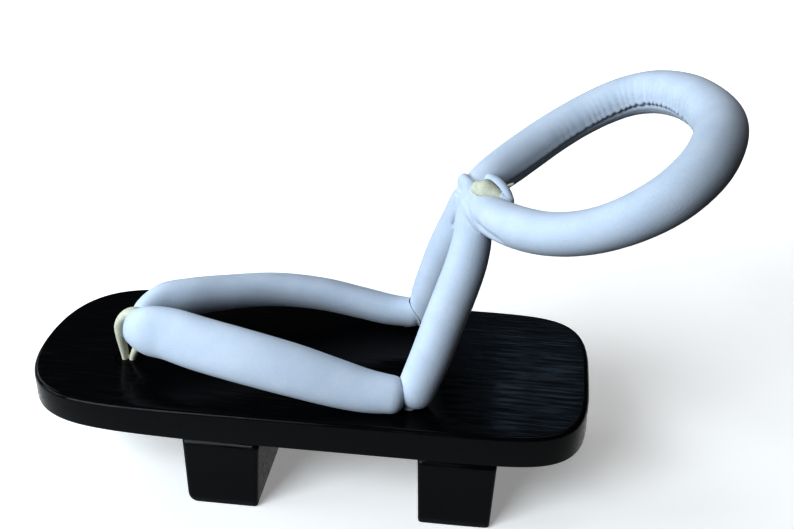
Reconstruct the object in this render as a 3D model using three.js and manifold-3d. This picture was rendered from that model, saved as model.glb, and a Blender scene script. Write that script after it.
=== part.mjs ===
// A geta sandal for the right foot: a lacquered board on two teeth, a padded thong and a padded ankle ring.
// Millimetres. The toe points along +X, the wearer's left is +Y, and the teeth stand on z = 0.
import * as THREE from "three";
import { mergeVertices } from "three/addons/utils/BufferGeometryUtils.js";
import Module from "manifold-3d";

const wasm = await Module();
wasm.setup();

const TOEWARD = new THREE.Vector3(1, 0, 0);
const LEFTWARD = new THREE.Vector3(0, 1, 0);
const UPRIGHT = new THREE.Vector3(0, 0, 1);

// Board
const BOARD_LENGTH = 241;
const BOARD_WIDTH = 99;
const BOARD_THICKNESS = 14;
const WIDEST_X = -20; // station of the greatest width, from the middle of the board
const TOE_POWERS = { end: 9, side: 2.2 }; // the round toe end of the outline
const HEEL_POWERS = { end: 8.4, side: 3.5 }; // the squarer heel end
const TOP_EDGE_RADIUS = 1.8;
const TOE_THINNING = 2; // the underside is planed up towards the toe
const OUTLINE_STEPS = 44; // along each half of the outline
const TOP_EDGE_STEPS = 3;

// Teeth
const TOOTH_HEIGHT = 32;
const FOOTBED = TOOTH_HEIGHT + BOARD_THICKNESS; // height of the board's top face
const TEETH = [
  {
    name: "front_tooth",
    front: 44.8,
    back: 12.8,
    frontSlope: 0.4,
    backSlope: 1.6,
    frontRound: 5,
    backRound: 1.5,
  },
  {
    name: "rear_tooth",
    front: -52.7,
    back: -84.7,
    frontSlope: 0.6,
    backSlope: 1.8,
    frontRound: 1.5,
    backRound: 1.5,
  },
];

// Holes and the cord ends in them
const GAP = 0.3; // between pieces that touch
const DOME_PARTS = [0.85, 0.6, 0.3]; // rings of a tube's rounded end, as shares of a quarter turn
const SAME_PLACE = 1e-4; // vertices closer than this are one
const SLIVER = 0.02; // edges shorter than this, left by a cut, are closed up
const TOE_HOLE = { x: 78, y: 13.5, radius: 5 };
const SIDE_SLOT = { y: 32.5, thongX: -38.4, riserX: -47.2, radius: 3.4 };
const TAIL_RADIUS = 3;
const KNOT_RADIUS = 4.2;
const KNOT_DROP = 10; // from the underside of the board to the bottom of a knot
const TOE_TAIL_RADIUS = 4.6;
const TOE_KNOT_RADIUS = 6.5;
const ROUND_SIDES = 18; // round a hole or a knot
const KNOT_STEPS = 6; // from the top of a knot to its bottom
const CORNER_STEPS = 6; // round an edge of a tooth's foot and round the end of a slot

// Thong: one arm from the fold at the toe to its side slot. spread is measured from the thong's middle line,
// rise from the footbed, and lean turns the wide axis of the section away from upright, its top inwards.
const FOLD_Y = TOE_HOLE.y;
const HEEL_MIDDLE_Y = 3; // where the thong's middle line ends, between the side slots
const THONG_ROWS = [
  { x: 74.2, spread: 0, rise: 15.4, width: 11.6, thick: 8.2, lean: 22 },
  { x: 70.2, spread: 7.2, rise: 19.4, width: 16.8, thick: 11.6, lean: 17 },
  { x: 64.4, spread: 11.8, rise: 21, width: 21, thick: 13, lean: 17 },
  { x: 55, spread: 15.4, rise: 21.6, width: 22, thick: 13.6, lean: 26 },
  { x: 40, spread: 21.8, rise: 20.6, width: 22.4, thick: 14, lean: 38 },
  { x: 20, spread: 28.2, rise: 18.8, width: 22.4, thick: 14, lean: 42 },
  { x: 0, spread: 31.6, rise: 15.4, width: 21.8, thick: 14, lean: 45 },
  { x: -18, spread: 32.8, rise: 11, width: 20, thick: 14, lean: 48 },
  { x: -30, spread: 33, rise: 8.4, width: 18, thick: 13.8, lean: 50 },
  { x: -40, spread: 33, rise: 7.6, width: 16, thick: 13, lean: 50 },
];
const THONG_END = 6; // length of the rounded end of an arm
const FOLD_END = 0.5; // the same where one arm ends inside the other
const FOLD_LAP = 0.004; // share of the path by which it passes the fold
const THONG_FACETS = { steps: 38, sides: 18 }; // along one arm and round it

// Rising straps: half is the distance to each side of the middle, and the two lean back a little unevenly.
const RISER_ROWS = [
  { rise: 7.8, half: 32.2, nearX: -49.8, farX: -46.8, size: 16 },
  { rise: 21, half: 26, nearX: -55, farX: -49.4, size: 16.8 },
  { rise: 36, half: 20.2, nearX: -60, farX: -53.4, size: 17 },
  { rise: 48, half: 15.5, nearX: -64.2, farX: -56.8, size: 17 },
  { rise: 58, half: 11.2, nearX: -67.2, farX: -60, size: 16.6 },
  { rise: 67, half: 7.3, nearX: -68.6, farX: -62.8, size: 15.6 },
  { rise: 76, half: 3.2, nearX: -68, farX: -65, size: 14 },
  { rise: 80.5, half: 1.2, nearX: -67, farX: -66, size: 12.6 },
];
const RISER_ENDS = [7.4, 5]; // at the board and at the join
const RISER_FACETS = { steps: 24, sides: 16 };

// Ankle ring: both arms from the join to the tip, the near arm hanging a little lower than the far one.
const RING_ROWS = [
  { x: -68, half: 2.4, nearRise: 79.4, farRise: 82.4, nearSize: 13, farSize: 13 },
  { x: -74, half: 10, nearRise: 78.8, farRise: 85.2, nearSize: 15, farSize: 15.4 },
  { x: -81, half: 19.6, nearRise: 80, farRise: 87.6, nearSize: 16.2, farSize: 16.6 },
  { x: -89, half: 29.6, nearRise: 82.4, farRise: 90.6, nearSize: 16.4, farSize: 16.8 },
  { x: -98, half: 38.6, nearRise: 85.6, farRise: 94.6, nearSize: 16.2, farSize: 16.6 },
  { x: -108, half: 45.6, nearRise: 89.9, farRise: 99.2, nearSize: 16.2, farSize: 16.4 },
  { x: -118, half: 49.8, nearRise: 94.9, farRise: 103.8, nearSize: 16.6, farSize: 16.6 },
  { x: -129, half: 51, nearRise: 101.2, farRise: 108.4, nearSize: 17.6, farSize: 17 },
  { x: -139.5, half: 47, nearRise: 107, farRise: 112, nearSize: 18.6, farSize: 17.8 },
  { x: -149.5, half: 36, nearRise: 112.4, farRise: 114.6, nearSize: 19.4, farSize: 18.6 },
  { x: -156.3, half: 19, nearRise: 115.4, farRise: 116, nearSize: 19.8, farSize: 19.4 },
];
const RING_TIP = { x: -159.3, rise: 116.5, size: 19.8 };
const RING_END = 5;
const RING_FACETS = { steps: 34, sides: 16 };

// Cream cords
const TOE_LOOP = { width: 6, thick: 4.2, legWidth: 4.4, legThick: 3, legGap: 0.3 };
const LOOP_TURN = { from: -45, to: 225, steps: 8 }; // degrees round the fold, front leg to back leg
const TOE_LOOP_FACETS = { steps: 42, sides: 10 };
const TIE_ROWS = [
  { x: -70.4, y: 4.8, rise: 86.6, size: 6.8 },
  { x: -73, y: 5.8, rise: 86.6, size: 8.2 },
  { x: -76.8, y: 7.6, rise: 86, size: 5.8 },
  { x: -80, y: 9.4, rise: 85, size: 3.4 },
  { x: -83, y: 12.4, rise: 84.2, size: 2.6 },
];
const TIE_ENDS = [3.2, 1.4];
const TIE_FACETS = { steps: 12, sides: 10 };

function lacquer() {
  return new THREE.MeshStandardMaterial({ color: 0x0a0a0c, roughness: 0.16, metalness: 0 });
}

function whiteCloth() {
  return new THREE.MeshStandardMaterial({ color: 0xe9eef6, roughness: 0.92, metalness: 0 });
}

function creamCord() {
  return new THREE.MeshStandardMaterial({ color: 0xe4e0c4, roughness: 0.85, metalness: 0 });
}

// A closed geometry as a solid that can be joined and cut.
function solidOf(geometry) {
  const bare = geometry.clone();
  bare.deleteAttribute("normal");
  bare.deleteAttribute("uv");
  const merged = mergeVertices(bare, SAME_PLACE);
  const vertProperties = new Float32Array(merged.attributes.position.array);
  const triVerts = new Uint32Array(merged.index.array);
  return new wasm.Manifold(new wasm.Mesh({ numProp: 3, vertProperties, triVerts }));
}

function meshOf(name, solid, material) {
  const made = solid.simplify(SLIVER).getMesh();
  const geometry = new THREE.BufferGeometry();
  geometry.setAttribute("position", new THREE.BufferAttribute(made.vertProperties, 3));
  geometry.setIndex(new THREE.BufferAttribute(made.triVerts, 1));
  geometry.computeVertexNormals();
  const mesh = new THREE.Mesh(geometry, material);
  mesh.name = name;
  return mesh;
}

// Half of the outline between its two ends: |(x - WIDEST_X) / reach|^end + |y / half width|^side = 1.
function outlinePoint(step) {
  const angle = (Math.PI * step) / OUTLINE_STEPS;
  const c = Math.cos(angle);
  const s = Math.sin(angle);
  const powers = c > 0 ? TOE_POWERS : HEEL_POWERS;
  const reach = c > 0 ? BOARD_LENGTH / 2 - WIDEST_X : BOARD_LENGTH / 2 + WIDEST_X;
  const x = WIDEST_X + Math.sign(c) * reach * Math.abs(c) ** (2 / powers.end);
  const y = (BOARD_WIDTH / 2) * Math.abs(s) ** (2 / powers.side);
  return new THREE.Vector2(x, y);
}

function boardOutline() {
  const points = [];
  for (let step = 0; step <= OUTLINE_STEPS; step++) {
    points.push(outlinePoint(step));
  }
  for (let step = OUTLINE_STEPS - 1; step > 0; step--) {
    const mirrored = outlinePoint(step);
    points.push(new THREE.Vector2(mirrored.x, -mirrored.y));
  }
  return new THREE.Shape(points);
}

// A straight-sided block with the board's outline, its upper edge rounded, cut off flat at the underside.
function boardBlank() {
  const geometry = new THREE.ExtrudeGeometry(boardOutline(), {
    depth: FOOTBED - 2 * TOP_EDGE_RADIUS,
    bevelThickness: TOP_EDGE_RADIUS,
    bevelSize: TOP_EDGE_RADIUS,
    bevelOffset: -TOP_EDGE_RADIUS,
    bevelSegments: TOP_EDGE_STEPS,
  });
  geometry.translate(0, 0, TOP_EDGE_RADIUS);
  return solidOf(geometry).trimByPlane([0, 0, 1], TOOTH_HEIGHT);
}

function uprightCylinder(x, y, radius, bottom, top) {
  const geometry = new THREE.CylinderGeometry(radius, radius, top - bottom, ROUND_SIDES);
  geometry.rotateX(Math.PI / 2);
  geometry.translate(x, y, (bottom + top) / 2);
  return solidOf(geometry);
}

function sideSlot(side) {
  const { y, thongX, riserX, radius } = SIDE_SLOT;
  const shape = new THREE.Shape();
  shape.absarc(thongX, side * y, radius, -Math.PI / 2, Math.PI / 2, false);
  shape.absarc(riserX, side * y, radius, Math.PI / 2, 1.5 * Math.PI, false);
  const geometry = new THREE.ExtrudeGeometry(shape, {
    depth: FOOTBED,
    bevelEnabled: false,
    curveSegments: CORNER_STEPS,
  });
  geometry.translate(0, 0, TOOTH_HEIGHT / 2);
  return solidOf(geometry);
}

// The underside rises in a straight line from the front tooth to the toe.
function undersideAt(x) {
  const start = TEETH[0].front;
  const share = Math.max(0, (x - start) / (BOARD_LENGTH / 2 - start));
  return TOOTH_HEIGHT + TOE_THINNING * share;
}

function board() {
  const start = TEETH[0].front;
  const slope = Math.atan2(TOE_THINNING, BOARD_LENGTH / 2 - start);
  const normal = [-Math.sin(slope), 0, Math.cos(slope)];
  const offset = normal[0] * start + normal[2] * TOOTH_HEIGHT;
  let solid = boardBlank().trimByPlane(normal, offset);
  solid = solid.subtract(uprightCylinder(TOE_HOLE.x, TOE_HOLE.y, TOE_HOLE.radius, 0, 2 * FOOTBED));
  for (const side of [1, -1]) {
    solid = solid.subtract(sideSlot(side));
  }
  return meshOf("board", solid, lacquer());
}

// A tooth narrows towards its foot, whose two long edges are rounded, and is flush with the board's sides.
function tooth({ name, front, back, frontSlope, backSlope, frontRound, backRound }) {
  const profile = new THREE.Shape();
  profile.moveTo(front, TOOTH_HEIGHT);
  profile.lineTo(back, TOOTH_HEIGHT);
  profile.lineTo(back + backSlope, backRound);
  profile.quadraticCurveTo(back + backSlope, 0, back + backSlope + backRound, 0);
  profile.lineTo(front - frontSlope - frontRound, 0);
  profile.quadraticCurveTo(front - frontSlope, 0, front - frontSlope, frontRound);
  const across = new THREE.ExtrudeGeometry(profile, {
    depth: 2 * BOARD_WIDTH,
    bevelEnabled: false,
    curveSegments: CORNER_STEPS,
  });
  across.rotateX(Math.PI / 2);
  across.translate(0, BOARD_WIDTH, 0);
  const outline = new THREE.ExtrudeGeometry(boardOutline(), { depth: TOOTH_HEIGHT, bevelEnabled: false });
  return meshOf(name, solidOf(across).intersect(solidOf(outline)), lacquer());
}

// A stuffed tube along a table of stations, each with a place, the width and thickness of its oval section,
// and the turn of that section about the path. It may cover only a share of the path, from one part of it on,
// and its two ends are closed by domes of the given lengths.
function stuffedTube(stations, { steps, sides, domes, firstUp, swell = 0, share = [0, 1] }) {
  const path = new THREE.CatmullRomCurve3(stations.map((s) => s.place));
  const sizes = stations.map((s) => new THREE.Vector3(s.width, s.thick, s.turn));
  const sections = new THREE.CatmullRomCurve3(sizes);
  const rings = [];
  const up = firstUp.clone();
  const addRing = (u, shrink, ahead) => {
    const along = path.getTangent(u);
    const section = sections.getPoint(u);
    up.addScaledVector(along, -up.dot(along)).normalize();
    const wide = up.clone().applyAxisAngle(along, THREE.MathUtils.degToRad(section.z));
    const thin = along.clone().cross(wide);
    const centre = path.getPoint(u).addScaledVector(along, ahead);
    const points = [];
    for (let side = 0; side < sides; side++) {
      const angle = (2 * Math.PI * side) / sides;
      const point = centre.clone();
      point.addScaledVector(wide, Math.cos(angle) * (section.x / 2 + swell) * shrink);
      point.addScaledVector(thin, Math.sin(angle) * (section.y / 2 + swell) * shrink);
      points.push(point);
    }
    rings.push(points);
  };
  const addDome = (u, length, sign) => {
    const angles = DOME_PARTS.map((part) => (part * Math.PI) / 2);
    if (sign > 0) angles.reverse();
    angles.forEach((angle) => addRing(u, Math.cos(angle), sign * (length + swell) * Math.sin(angle)));
  };
  addDome(share[0], domes[0], -1);
  for (let step = 0; step <= steps; step++) {
    addRing(THREE.MathUtils.lerp(share[0], share[1], step / steps), 1, 0);
  }
  addDome(share[1], domes[1], 1);
  return solidOf(skinOf(rings, sides));
}

// Triangles over a row of rings, with a fan over each end.
function skinOf(rings, sides) {
  const positions = rings.flat().flatMap((p) => [p.x, p.y, p.z]);
  const indices = [];
  for (let band = 0; band < rings.length - 1; band++) {
    for (let side = 0; side < sides; side++) {
      const beside = (side + 1) % sides;
      const a = band * sides + side;
      const b = band * sides + beside;
      const c = a + sides;
      const d = b + sides;
      indices.push(a, b, d, a, d, c);
    }
  }
  const last = (rings.length - 1) * sides;
  for (let side = 1; side < sides - 1; side++) {
    indices.push(0, side + 1, side, last, last + side, last + side + 1);
  }
  const geometry = new THREE.BufferGeometry();
  geometry.setAttribute("position", new THREE.Float32BufferAttribute(positions, 3));
  geometry.setIndex(indices);
  return geometry;
}

// A strap's end below the footbed: a straight tail through the board and a round knot under it.
function knottedTail(x, y, radius, knotRadius, top) {
  const under = undersideAt(x);
  const knotTop = under - GAP;
  const knotBottom = under - KNOT_DROP;
  const profile = [
    new THREE.Vector2(0, top),
    new THREE.Vector2(radius, top),
    new THREE.Vector2(radius, knotTop),
  ];
  for (let step = 1; step < KNOT_STEPS; step++) {
    const angle = (Math.PI * step) / KNOT_STEPS;
    const height = (knotTop + knotBottom) / 2 + ((knotTop - knotBottom) / 2) * Math.cos(angle);
    const reach = Math.max(knotRadius * Math.sin(angle), step < KNOT_STEPS / 2 ? radius : 0);
    profile.push(new THREE.Vector2(reach, height));
  }
  profile.push(new THREE.Vector2(0, knotBottom));
  const geometry = new THREE.LatheGeometry(profile.reverse(), ROUND_SIDES);
  geometry.rotateX(Math.PI / 2);
  geometry.translate(x, y, 0);
  return solidOf(geometry);
}

function oval(x, y, rise, width, thick, turn = 0) {
  return { place: new THREE.Vector3(x, y, FOOTBED + rise), width, thick, turn };
}

// The two arms follow one path through the fold, and each runs a little past the fold into the other.
function thongBody() {
  const reach = THONG_ROWS[0].x - SIDE_SLOT.thongX;
  const middle = (x) => HEEL_MIDDLE_Y + (FOLD_Y - HEEL_MIDDLE_Y) * ((x - SIDE_SLOT.thongX) / reach) ** 2;
  const arm = (side) =>
    THONG_ROWS.map((r) => oval(r.x, middle(r.x) + side * r.spread, r.rise, r.width, r.thick, r.lean));
  const stations = [...arm(1).reverse(), ...arm(-1).slice(1)];
  const shared = { ...THONG_FACETS, firstUp: UPRIGHT };
  const near = stuffedTube(stations, { ...shared, share: [0, 0.5 + FOLD_LAP], domes: [THONG_END, FOLD_END] });
  const far = stuffedTube(stations, { ...shared, share: [0.5 - FOLD_LAP, 1], domes: [FOLD_END, THONG_END] });
  return near.add(far);
}

function riser(side, swell) {
  const stations = RISER_ROWS.map((r) => {
    const x = side > 0 ? r.nearX : r.farX;
    return oval(x, side * r.half, r.rise, r.size, r.size);
  });
  return stuffedTube(stations, { ...RISER_FACETS, domes: RISER_ENDS, firstUp: TOEWARD, swell });
}

function ring() {
  const near = RING_ROWS.map((r) => oval(r.x, r.half, r.nearRise, r.nearSize, r.nearSize));
  const far = RING_ROWS.map((r) => oval(r.x, -r.half, r.farRise, r.farSize, r.farSize));
  const tip = oval(RING_TIP.x, 0, RING_TIP.rise, RING_TIP.size, RING_TIP.size);
  const stations = [...near, tip, ...far.reverse()];
  const shared = { ...RING_FACETS, firstUp: UPRIGHT };
  const nearArm = stuffedTube(stations, {
    ...shared,
    share: [0, 0.5 + FOLD_LAP],
    domes: [RING_END, FOLD_END],
  });
  const farArm = stuffedTube(stations, {
    ...shared,
    share: [0.5 - FOLD_LAP, 1],
    domes: [FOLD_END, RING_END],
  });
  return nearArm.add(farArm);
}

// The cord's path in the upright plane through the fold: up the front, over the leaning fold, down the back.
function toeLoopBody(swell) {
  const fold = THONG_ROWS[0];
  const { width, thick, legWidth, legThick, legGap } = TOE_LOOP;
  const { from, to, steps } = LOOP_TURN;
  const reach = fold.thick / 2 + GAP + thick / 2;
  const height = fold.width / 2 + GAP + thick / 2;
  const leg = (legThick + legGap) / 2;
  const lean = THREE.MathUtils.degToRad(fold.lean);
  const stations = [];
  const addLeg = (x, rise) => stations.push(oval(x, FOLD_Y, rise, legWidth, legThick));
  addLeg(TOE_HOLE.x + leg, -BOARD_THICKNESS / 2);
  addLeg(TOE_HOLE.x + leg, 0);
  for (let step = 0; step <= steps; step++) {
    const angle = THREE.MathUtils.degToRad(THREE.MathUtils.lerp(from, to, step / steps));
    const ahead = reach * Math.cos(angle);
    const above = height * Math.sin(angle);
    const x = fold.x + ahead * Math.cos(lean) - above * Math.sin(lean);
    const rise = fold.rise + ahead * Math.sin(lean) + above * Math.cos(lean);
    stations.push(oval(x, FOLD_Y, rise, width, thick));
  }
  addLeg(TOE_HOLE.x - leg, 0);
  addLeg(TOE_HOLE.x - leg, -BOARD_THICKNESS / 2);
  const domes = [legThick / 2, legThick / 2];
  return stuffedTube(stations, { ...TOE_LOOP_FACETS, domes, firstUp: LEFTWARD, swell });
}

function tieBody(swell) {
  const stations = TIE_ROWS.map((r) => oval(r.x, r.y, r.rise, r.size, r.size));
  return stuffedTube(stations, { ...TIE_FACETS, domes: TIE_ENDS, firstUp: UPRIGHT, swell });
}

function thongStrap() {
  let solid = thongBody();
  for (const side of [1, -1]) {
    const top = FOOTBED + THONG_ROWS.at(-1).rise;
    solid = solid.add(knottedTail(SIDE_SLOT.thongX, side * SIDE_SLOT.y, TAIL_RADIUS, KNOT_RADIUS, top));
  }
  solid = solid.subtract(riser(1, GAP)).subtract(riser(-1, GAP)).subtract(toeLoopBody(GAP));
  return meshOf("thong_strap", solid, whiteCloth());
}

function toeLoop() {
  const top = FOOTBED - BOARD_THICKNESS / 4;
  const tail = knottedTail(TOE_HOLE.x, TOE_HOLE.y, TOE_TAIL_RADIUS, TOE_KNOT_RADIUS, top);
  return meshOf("toe_loop", toeLoopBody(0).add(tail), creamCord());
}

function ankleStrap() {
  let solid = ring();
  for (const side of [1, -1]) {
    const top = FOOTBED + RISER_ROWS[0].rise;
    solid = solid.add(riser(side, 0));
    solid = solid.add(knottedTail(SIDE_SLOT.riserX, side * SIDE_SLOT.y, TAIL_RADIUS, KNOT_RADIUS, top));
  }
  return meshOf("ankle_strap", solid.subtract(tieBody(GAP)), whiteCloth());
}

function ankleTie() {
  return meshOf("ankle_tie", tieBody(0), creamCord());
}

const sandal = new THREE.Group();
sandal.add(board(), ...TEETH.map(tooth), thongStrap(), toeLoop(), ankleStrap(), ankleTie());

// The origin is under the middle of the whole sandal's box.
const extent = new THREE.Box3().setFromObject(sandal);
const centre = extent.getCenter(new THREE.Vector3());
sandal.position.set(-centre.x, -centre.y, -extent.min.z);
const geta = new THREE.Group();
geta.name = "geta";
geta.add(sandal);

export default geta;
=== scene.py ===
# %% [markdown]
# # A geta sandal with a padded ankle ring
# The sandal is a flat lacquered board on two teeth. A stuffed white thong and a stuffed ankle strap come
# up through the board, and cream cords hold them. The CAD solids are the frame that everything has to
# fit, so they are loaded first, and the board's box gives the sizes below.

# %% Load the frame
import math

import bmesh
import bpy
import numpy as np
from mathutils import Matrix, Vector
from mathutils.geometry import delaunay_2d_cdt


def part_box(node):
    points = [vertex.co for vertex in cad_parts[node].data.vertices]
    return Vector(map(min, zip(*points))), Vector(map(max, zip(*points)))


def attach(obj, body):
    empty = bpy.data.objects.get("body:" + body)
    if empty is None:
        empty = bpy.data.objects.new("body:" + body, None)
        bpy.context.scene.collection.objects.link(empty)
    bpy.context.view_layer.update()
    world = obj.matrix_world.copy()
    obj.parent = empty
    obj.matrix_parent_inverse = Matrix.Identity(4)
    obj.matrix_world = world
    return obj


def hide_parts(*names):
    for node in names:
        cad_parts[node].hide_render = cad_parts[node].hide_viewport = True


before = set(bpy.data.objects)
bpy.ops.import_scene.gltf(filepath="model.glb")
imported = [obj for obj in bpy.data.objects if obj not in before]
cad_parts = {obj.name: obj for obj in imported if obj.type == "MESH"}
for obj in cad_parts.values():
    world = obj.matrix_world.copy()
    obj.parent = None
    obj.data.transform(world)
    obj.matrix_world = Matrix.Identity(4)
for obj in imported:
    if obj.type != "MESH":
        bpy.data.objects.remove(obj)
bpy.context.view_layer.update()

scene = bpy.context.scene
print("nodes:", ", ".join(sorted(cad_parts)))

# %% [markdown]
# ## Sizes
# A shoemaker measures from the middle of the board, in millimetres, with the toe forwards. The CAD frame
# is in metres and has its origin under the whole object, ring included. So every piece below is worked
# out in the shoe's own millimetres (toe +X, wearer's left +Y, up +Z, floor at zero), and one function
# moves it over.

# %% From the shoe's millimetres to the frame's metres
board_low, board_high = (1000 * np.array(corner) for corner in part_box("board"))
BOARD_CENTRE = np.append((board_low + board_high)[:2] / 2, 0.0)
FOOTBED = board_high[2]
TOOTH_HEIGHT = board_low[2]


def to_frame(points):
    """The shoe's millimetres plus the board's centre in the frame, divided by a thousand."""
    return (np.asarray(points, float) + BOARD_CENTRE) / 1000


print("board centre in the frame, mm:", BOARD_CENTRE.round(2), "footbed:", round(float(FOOTBED), 2))

# %% [markdown]
# ## Camera
# The photograph is taken from the wearer's left, from above, with a short telephoto view. The place, the
# point on the lens axis and the small roll come from fitting the board's outline and the teeth to the
# picture. The lens follows from its focal length in pixels of a picture 794 wide and 529 high.

# %% The camera
IMAGE_WIDTH = 794
FOCAL_PIXELS = 1150
SENSOR_WIDTH = 36
CAMERA_PLACE = (-92.0, 417.3, 318.6)
CAMERA_AIM = (-29.29, -62.79, 60.0)
CAMERA_ROLL = 0.44

camera_data = bpy.data.cameras.new("camera")
camera_data.sensor_width = SENSOR_WIDTH
camera_data.lens = FOCAL_PIXELS / IMAGE_WIDTH * SENSOR_WIDTH
camera = bpy.data.objects.new("camera", camera_data)
scene.collection.objects.link(camera)
place, aim = to_frame([CAMERA_PLACE, CAMERA_AIM])
look = Vector(aim - place).to_track_quat("-Z", "Y").to_matrix()
roll = Matrix.Rotation(math.radians(CAMERA_ROLL), 3, "Z")
camera.matrix_world = Matrix.Translation(place) @ (look @ roll).to_4x4()
scene.camera = camera
print("lens: %.1f mm, distance to the aim: %.0f mm" % (camera_data.lens, 1000 * np.linalg.norm(aim - place)))

# %% [markdown]
# ## Mesh helpers
# Each piece is a grid of points worked out as whole arrays. A grid is joined into quads by index
# arithmetic, a row that shrinks to one point becomes a pole when doubles are merged, and the mesh is
# filled in one call.

# %% Grids and objects
MERGE = 1e-6


def grid_quads(rows, columns):
    """Quads between neighbouring rows and columns, with the last column joined to the first."""
    row, column = np.meshgrid(np.arange(rows - 1), np.arange(columns), indexing="ij")
    a = row * columns + column
    b = row * columns + (column + 1) % columns
    return np.stack([a, b, b + columns, a + columns], axis=-1).reshape(-1, 4)


def join_parts(parts):
    """One list of points and faces from several, each part's indices raised by the points before it."""
    points, faces, before = [], [], 0
    for part_points, part_faces in parts:
        flat = np.asarray(part_points, float).reshape(-1, 3)
        points.append(flat)
        faces.extend((np.asarray(part_faces) + before).tolist())
        before += len(flat)
    return np.vstack(points), faces


def new_piece(name, points, faces, doubles=True):
    """A mesh object at the origin, smooth shaded, with its poles closed and its faces outward."""
    mesh = bpy.data.meshes.new(name)
    mesh.from_pydata(to_frame(points).tolist(), [], [list(f) for f in faces])
    if doubles:
        work = bmesh.new()
        work.from_mesh(mesh)
        bmesh.ops.remove_doubles(work, verts=work.verts, dist=MERGE)
        bmesh.ops.recalc_face_normals(work, faces=work.faces)
        work.to_mesh(mesh)
        work.free()
    mesh.shade_smooth()
    piece = bpy.data.objects.new(name, mesh)
    scene.collection.objects.link(piece)
    return piece


def show(piece, node, material):
    """The piece rides on the one body, stands for its CAD node and takes its finish from a slot."""
    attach(piece, "root")
    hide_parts(node)
    piece.data.materials.clear()
    piece.data.materials.append(material)
    print("%s: %d vertices, %d faces" % (piece.name, len(piece.data.vertices), len(piece.data.polygons)))


print("a grid of 3 rows and 4 columns has", len(grid_quads(3, 4)), "quads")

# %% [markdown]
# ## Board
# The board is cut from one piece of wood. Its outline is round at the toe and squarer at the heel, its
# upper edge is softened, and the underside is planed up a little towards the toe. A bevelled box would
# lose the outline, so the edge is a profile carried round the outline, and the flat faces are
# triangulated between the edge and the holes. A ring just inside each rounding keeps the flat faces flat
# under smooth shading.

# %% Outline of the board
BOARD_LENGTH, BOARD_WIDTH = 241.0, 99.0
WIDEST_X = -20.0
TOE_POWERS = (9.0, 2.2)
HEEL_POWERS = (8.4, 3.5)
OUTLINE_COUNT, OUTLINE_TRIALS = 640, 40001


def board_outline(count):
    """Points at equal steps round |(x - widest) / reach|^end + |y / half width|^side = 1, and outward
    normals."""
    angle = np.linspace(0, 2 * np.pi, OUTLINE_TRIALS)
    c, s = np.cos(angle), np.sin(angle)
    end = np.where(c > 0, TOE_POWERS[0], HEEL_POWERS[0])
    side = np.where(c > 0, TOE_POWERS[1], HEEL_POWERS[1])
    reach = np.where(c > 0, BOARD_LENGTH / 2 - WIDEST_X, BOARD_LENGTH / 2 + WIDEST_X)
    x = WIDEST_X + np.sign(c) * reach * np.abs(c) ** (2 / end)
    y = np.sign(s) * BOARD_WIDTH / 2 * np.abs(s) ** (2 / side)
    run = np.concatenate([[0], np.cumsum(np.hypot(np.diff(x), np.diff(y)))])
    even = np.linspace(0, run[-1], count, endpoint=False)
    points = np.column_stack([np.interp(even, run, x), np.interp(even, run, y)])
    ahead = np.roll(points, -1, axis=0) - np.roll(points, 1, axis=0)
    normal = np.column_stack([ahead[:, 1], -ahead[:, 0]])
    return points, normal / np.linalg.norm(normal, axis=1)[:, None]


def half_width(x):
    """The outline's y at a station x, by interpolation along its left half."""
    points, _ = board_outline(4 * OUTLINE_COUNT)
    left = points[points[:, 1] >= 0]
    order = np.argsort(left[:, 0])
    return np.interp(x, left[order, 0], left[order, 1])


outline, outward = board_outline(OUTLINE_COUNT)
print("outline: %.1f x %.1f mm" % tuple(np.ptp(outline, axis=0)))

# %% Edges, holes and flat faces
TOP_RADIUS, UNDER_RADIUS, HOLE_RADIUS = 1.8, 0.7, 0.6
HOLD = 0.5
ARC_STEPS = 8
THINNING_START, TOE_THINNING = 44.8, 2.0
TOE_HOLE = (78.0, 13.5, 5.0)
SLOT_Y, SLOT_ENDS, SLOT_RADIUS = 32.5, (-38.4, -47.2), 3.4
HOLE_COUNT = 64
BEND_COUNT, BEND_CLEAR = 60, 0.4
INSIDE_WITH_HOLES, NET_TOLERANCE = 2, 1e-5


def underside(x):
    """Level to the front tooth, then rising in a straight line to the toe."""
    share = np.clip((x - THINNING_START) / (BOARD_LENGTH / 2 - THINNING_START), 0, None)
    return TOOTH_HEIGHT + TOE_THINNING * share


def edge_strip(points, normal, top_radius, under_radius):
    """A profile carried round a closed line: flat ring, quarter arc, straight side, quarter arc, flat
    ring. Each row is the line moved in along its normal; heights are measured from the footbed or the
    underside."""
    arc = np.linspace(0, np.pi / 2, ARC_STEPS)
    top_in = np.concatenate([[top_radius + HOLD], top_radius * (1 - np.sin(arc))])
    top_down = np.concatenate([[0], top_radius * (1 - np.cos(arc))])
    under_in = np.concatenate([[under_radius + HOLD], under_radius * (1 - np.sin(arc))])[::-1]
    under_up = np.concatenate([[0], under_radius * (1 - np.cos(arc))])[::-1]
    inset = np.concatenate([top_in, under_in])[:, None, None]
    flat = points[None] - inset * normal[None]
    top = np.full((len(top_in), len(points)), FOOTBED) - top_down[:, None]
    under = underside(flat[len(top_in):, :, 0]) + under_up[:, None]
    return np.dstack([flat, np.vstack([top, under])])


def stadium(x_ends, y, radius, count):
    """A closed line of two half circles and two straight sides, with its normal into the hole."""
    angle = np.linspace(0, 2 * np.pi, count, endpoint=False) + np.pi / count
    centre = np.where(np.cos(angle) > 0, max(x_ends), min(x_ends))
    points = np.column_stack([centre + radius * np.cos(angle), y + radius * np.sin(angle)])
    return points, -np.column_stack([np.cos(angle), np.sin(angle)])


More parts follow.
